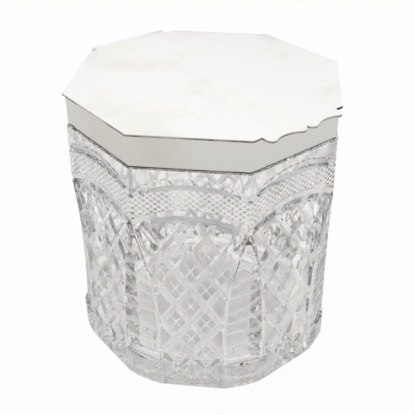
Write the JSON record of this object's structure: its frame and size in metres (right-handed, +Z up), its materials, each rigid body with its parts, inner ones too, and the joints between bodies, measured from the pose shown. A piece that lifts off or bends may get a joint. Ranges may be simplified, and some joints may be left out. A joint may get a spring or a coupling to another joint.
{
  "type": "biscuit jar",
  "caption": "Octagonal cut glass jar with a plain silver collar and a flat hinged silver lid that opens by a scalloped thumb lip.",
  "frame": {"origin": "middle of the foot, on the surface the jar stands on", "axes": "+Z up, the thumb lip at -Y, the hinge at +Y, +X to the right of someone facing the lip"},
  "size_m": [0.1372, 0.1448, 0.1524],
  "materials": {
    "crystal_glass": "polished, deeply cut",
    "silver": "polished silver",
    "pin_metal": "drawn wire",
    "plaster": "dry plaster"
  },
  "bodies": {
    "jar": {"glass_jar": "crystal_glass", "plaster_bed": "plaster", "collar_band": "silver", "collar_seat": "silver", "collar_sleeve": "silver", "collar_bearer": "silver", "collar_knuckle_left": "silver", "collar_knuckle_mid_left": "silver", "collar_knuckle_mid_right": "silver", "collar_knuckle_right": "silver", "hinge_pin": "pin_metal", "pin_plug_left": "silver", "pin_plug_right": "silver"},
    "lid": {"lid_plate": "silver", "thumb_lip": "silver", "lid_bezel": "silver", "lid_strap": "silver", "lid_knuckle_left": "silver", "lid_knuckle_middle": "silver", "lid_knuckle_right": "silver"}
  },
  "joints": [
    {"name": "lid_hinge", "type": "hinge", "parent": "jar", "child": "lid", "pos_m": [0, 0.0703, 0.1495], "axis": [-1, 0, 0], "range_deg": [0, 105]}
  ]
}
